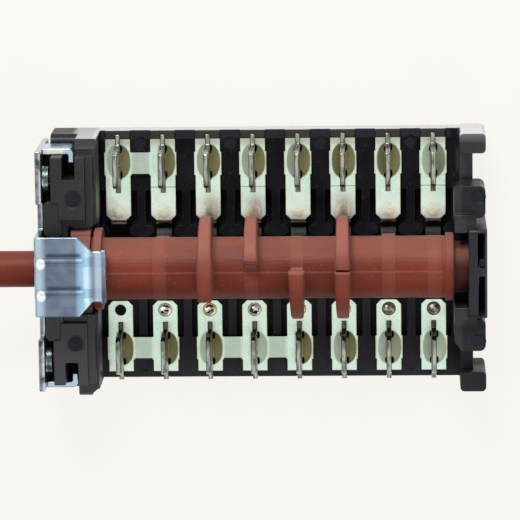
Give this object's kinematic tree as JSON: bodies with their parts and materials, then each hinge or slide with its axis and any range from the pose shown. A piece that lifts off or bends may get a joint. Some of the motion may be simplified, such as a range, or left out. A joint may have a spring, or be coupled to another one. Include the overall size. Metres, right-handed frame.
{
  "type": "oven selector switch",
  "caption": "Rotary cam switch for an oven: black moulded tray with plug-on tabs and brass contact strips under a red-brown cam drum, steel front bracket and round spindle with a flat.",
  "frame": {"origin": "on the spindle axis at the front face of the mounting plate", "axes": "+X along the spindle towards the rear bearing, +Y across the tray towards the upper terminal row, +Z out of the open contact side, the way the tabs stand"},
  "size_m": [0.0958, 0.0432, 0.0236],
  "materials": {
    "black_moulding": "fine moulded satin",
    "zinc_steel": "blue zinc plating",
    "red_thermoset": "satin moulded thermoset",
    "tinned_brass": "bright tin plating with brass edges",
    "tab_metal": "bright tin plating",
    "blade_bronze": "dull tinned spring bronze",
    "contact_silver": "silver face",
    "plunger_plastic": "satin",
    "spring_steel": "drawn wire"
  },
  "bodies": {
    "switch_body": {"housing": "black_moulding", "front_bracket": "zinc_steel", "upper_strip_12": "tinned_brass", "upper_strip_3": "tinned_brass", "upper_strip_4": "tinned_brass", "upper_strip_5": "tinned_brass", "upper_strip_6": "tinned_brass", "upper_strip_7": "tinned_brass", "upper_strip_8": "tinned_brass", "lower_strip_12": "tinned_brass", "lower_strip_345": "tinned_brass", "lower_strip_6": "tinned_brass", "lower_strip_7": "tinned_brass", "lower_strip_8": "tinned_brass", "upper_tab_1": "tab_metal", "upper_tab_2": "tab_metal", "upper_tab_3": "tab_metal", "upper_tab_4": "tab_metal", "upper_tab_5": "tab_metal", "upper_tab_6": "tab_metal", "upper_tab_7": "tab_metal", "upper_tab_8": "tab_metal", "lower_tab_1": "tab_metal", "lower_tab_2": "tab_metal", "lower_tab_3": "tab_metal", "lower_tab_4": "tab_metal", "lower_tab_5": "tab_metal", "lower_tab_6": "tab_metal", "lower_tab_7": "tab_metal", "lower_tab_8": "tab_metal", "fixed_contacts": "contact_silver", "blade_rivets": "contact_silver", "detent_spring_upper": "spring_steel", "detent_spring_lower": "spring_steel"},
    "selector_drum": {"cam_drum": "red_thermoset"},
    "contact_2": {"contact_blade_2": "blade_bronze", "contact_button_2": "contact_silver"},
    "contact_3": {"contact_blade_3": "blade_bronze", "contact_button_3": "contact_silver"},
    "contact_4": {"contact_blade_4": "blade_bronze", "contact_button_4": "contact_silver"},
    "contact_5": {"contact_blade_5": "blade_bronze", "contact_button_5": "contact_silver"},
    "contact_6": {"contact_blade_6": "blade_bronze", "contact_button_6": "contact_silver"},
    "contact_7": {"contact_blade_7": "blade_bronze", "contact_button_7": "contact_silver"},
    "contact_8": {"contact_blade_8": "blade_bronze", "contact_button_8": "contact_silver"},
    "upper_plunger": {"detent_plunger_upper": "plunger_plastic"},
    "lower_plunger": {"detent_plunger_lower": "plunger_plastic"}
  },
  "joints": [
    {"name": "selector_turn", "type": "hinge", "parent": "switch_body", "child": "selector_drum", "pos_m": [0, 0, 0], "axis": [1, 0, 0], "continuous": true},
    {"name": "contact_2_open", "type": "hinge", "parent": "switch_body", "child": "contact_2", "pos_m": [0.0202, -0.00705, -0.01145], "axis": [-1, 0, 0], "range_deg": [0, 5], "stiffness_Nm_per_rad": 0.05, "springref_deg": -8.59, "deforming": ["contact_blade_2"]},
    {"name": "contact_3_open", "type": "hinge", "parent": "switch_body", "child": "contact_3", "pos_m": [0.0277, -0.00705, -0.01145], "axis": [-1, 0, 0], "range_deg": [0, 5], "stiffness_Nm_per_rad": 0.05, "springref_deg": -8.59, "deforming": ["contact_blade_3"]},
    {"name": "contact_4_open", "type": "hinge", "parent": "switch_body", "child": "contact_4", "pos_m": [0.0352, -0.00705, -0.01145], "axis": [-1, 0, 0], "range_deg": [0, 5], "stiffness_Nm_per_rad": 0.05, "springref_deg": -8.59, "deforming": ["contact_blade_4"]},
    {"name": "contact_5_open", "type": "hinge", "parent": "switch_body", "child": "contact_5", "pos_m": [0.0427, -0.00705, -0.01145], "axis": [-1, 0, 0], "range_deg": [0, 5], "stiffness_Nm_per_rad": 0.05, "springref_deg": -8.59, "deforming": ["contact_blade_5"]},
    {"name": "contact_6_open", "type": "hinge", "parent": "switch_body", "child": "contact_6", "pos_m": [0.0502, -0.00705, -0.01145], "axis": [-1, 0, 0], "range_deg": [0, 5], "stiffness_Nm_per_rad": 0.05, "springref_deg": -8.59, "deforming": ["contact_blade_6"]},
    {"name": "contact_7_open", "type": "hinge", "parent": "switch_body", "child": "contact_7", "pos_m": [0.0577, -0.00705, -0.01145], "axis": [-1, 0, 0], "range_deg": [0, 5], "stiffness_Nm_per_rad": 0.05, "springref_deg": -8.59, "deforming": ["contact_blade_7"]},
    {"name": "contact_8_open", "type": "hinge", "parent": "switch_body", "child": "contact_8", "pos_m": [0.0652, -0.00705, -0.01145], "axis": [-1, 0, 0], "range_deg": [0, 5], "stiffness_Nm_per_rad": 0.05, "springref_deg": -8.59, "deforming": ["contact_blade_8"]},
    {"name": "detent_upper_press", "type": "slide", "parent": "switch_body", "child": "upper_plunger", "axis": [0, 1, 0], "range_m": [0, 0.0007], "stiffness_N_per_m": 600, "springref_m": -0.004, "deforming": ["detent_spring_upper"]},
    {"name": "detent_lower_press", "type": "slide", "parent": "switch_body", "child": "lower_plunger", "axis": [0, -1, 0], "range_m": [0, 0.0007], "stiffness_N_per_m": 600, "springref_m": -0.004, "deforming": ["detent_spring_lower"]}
  ]
}
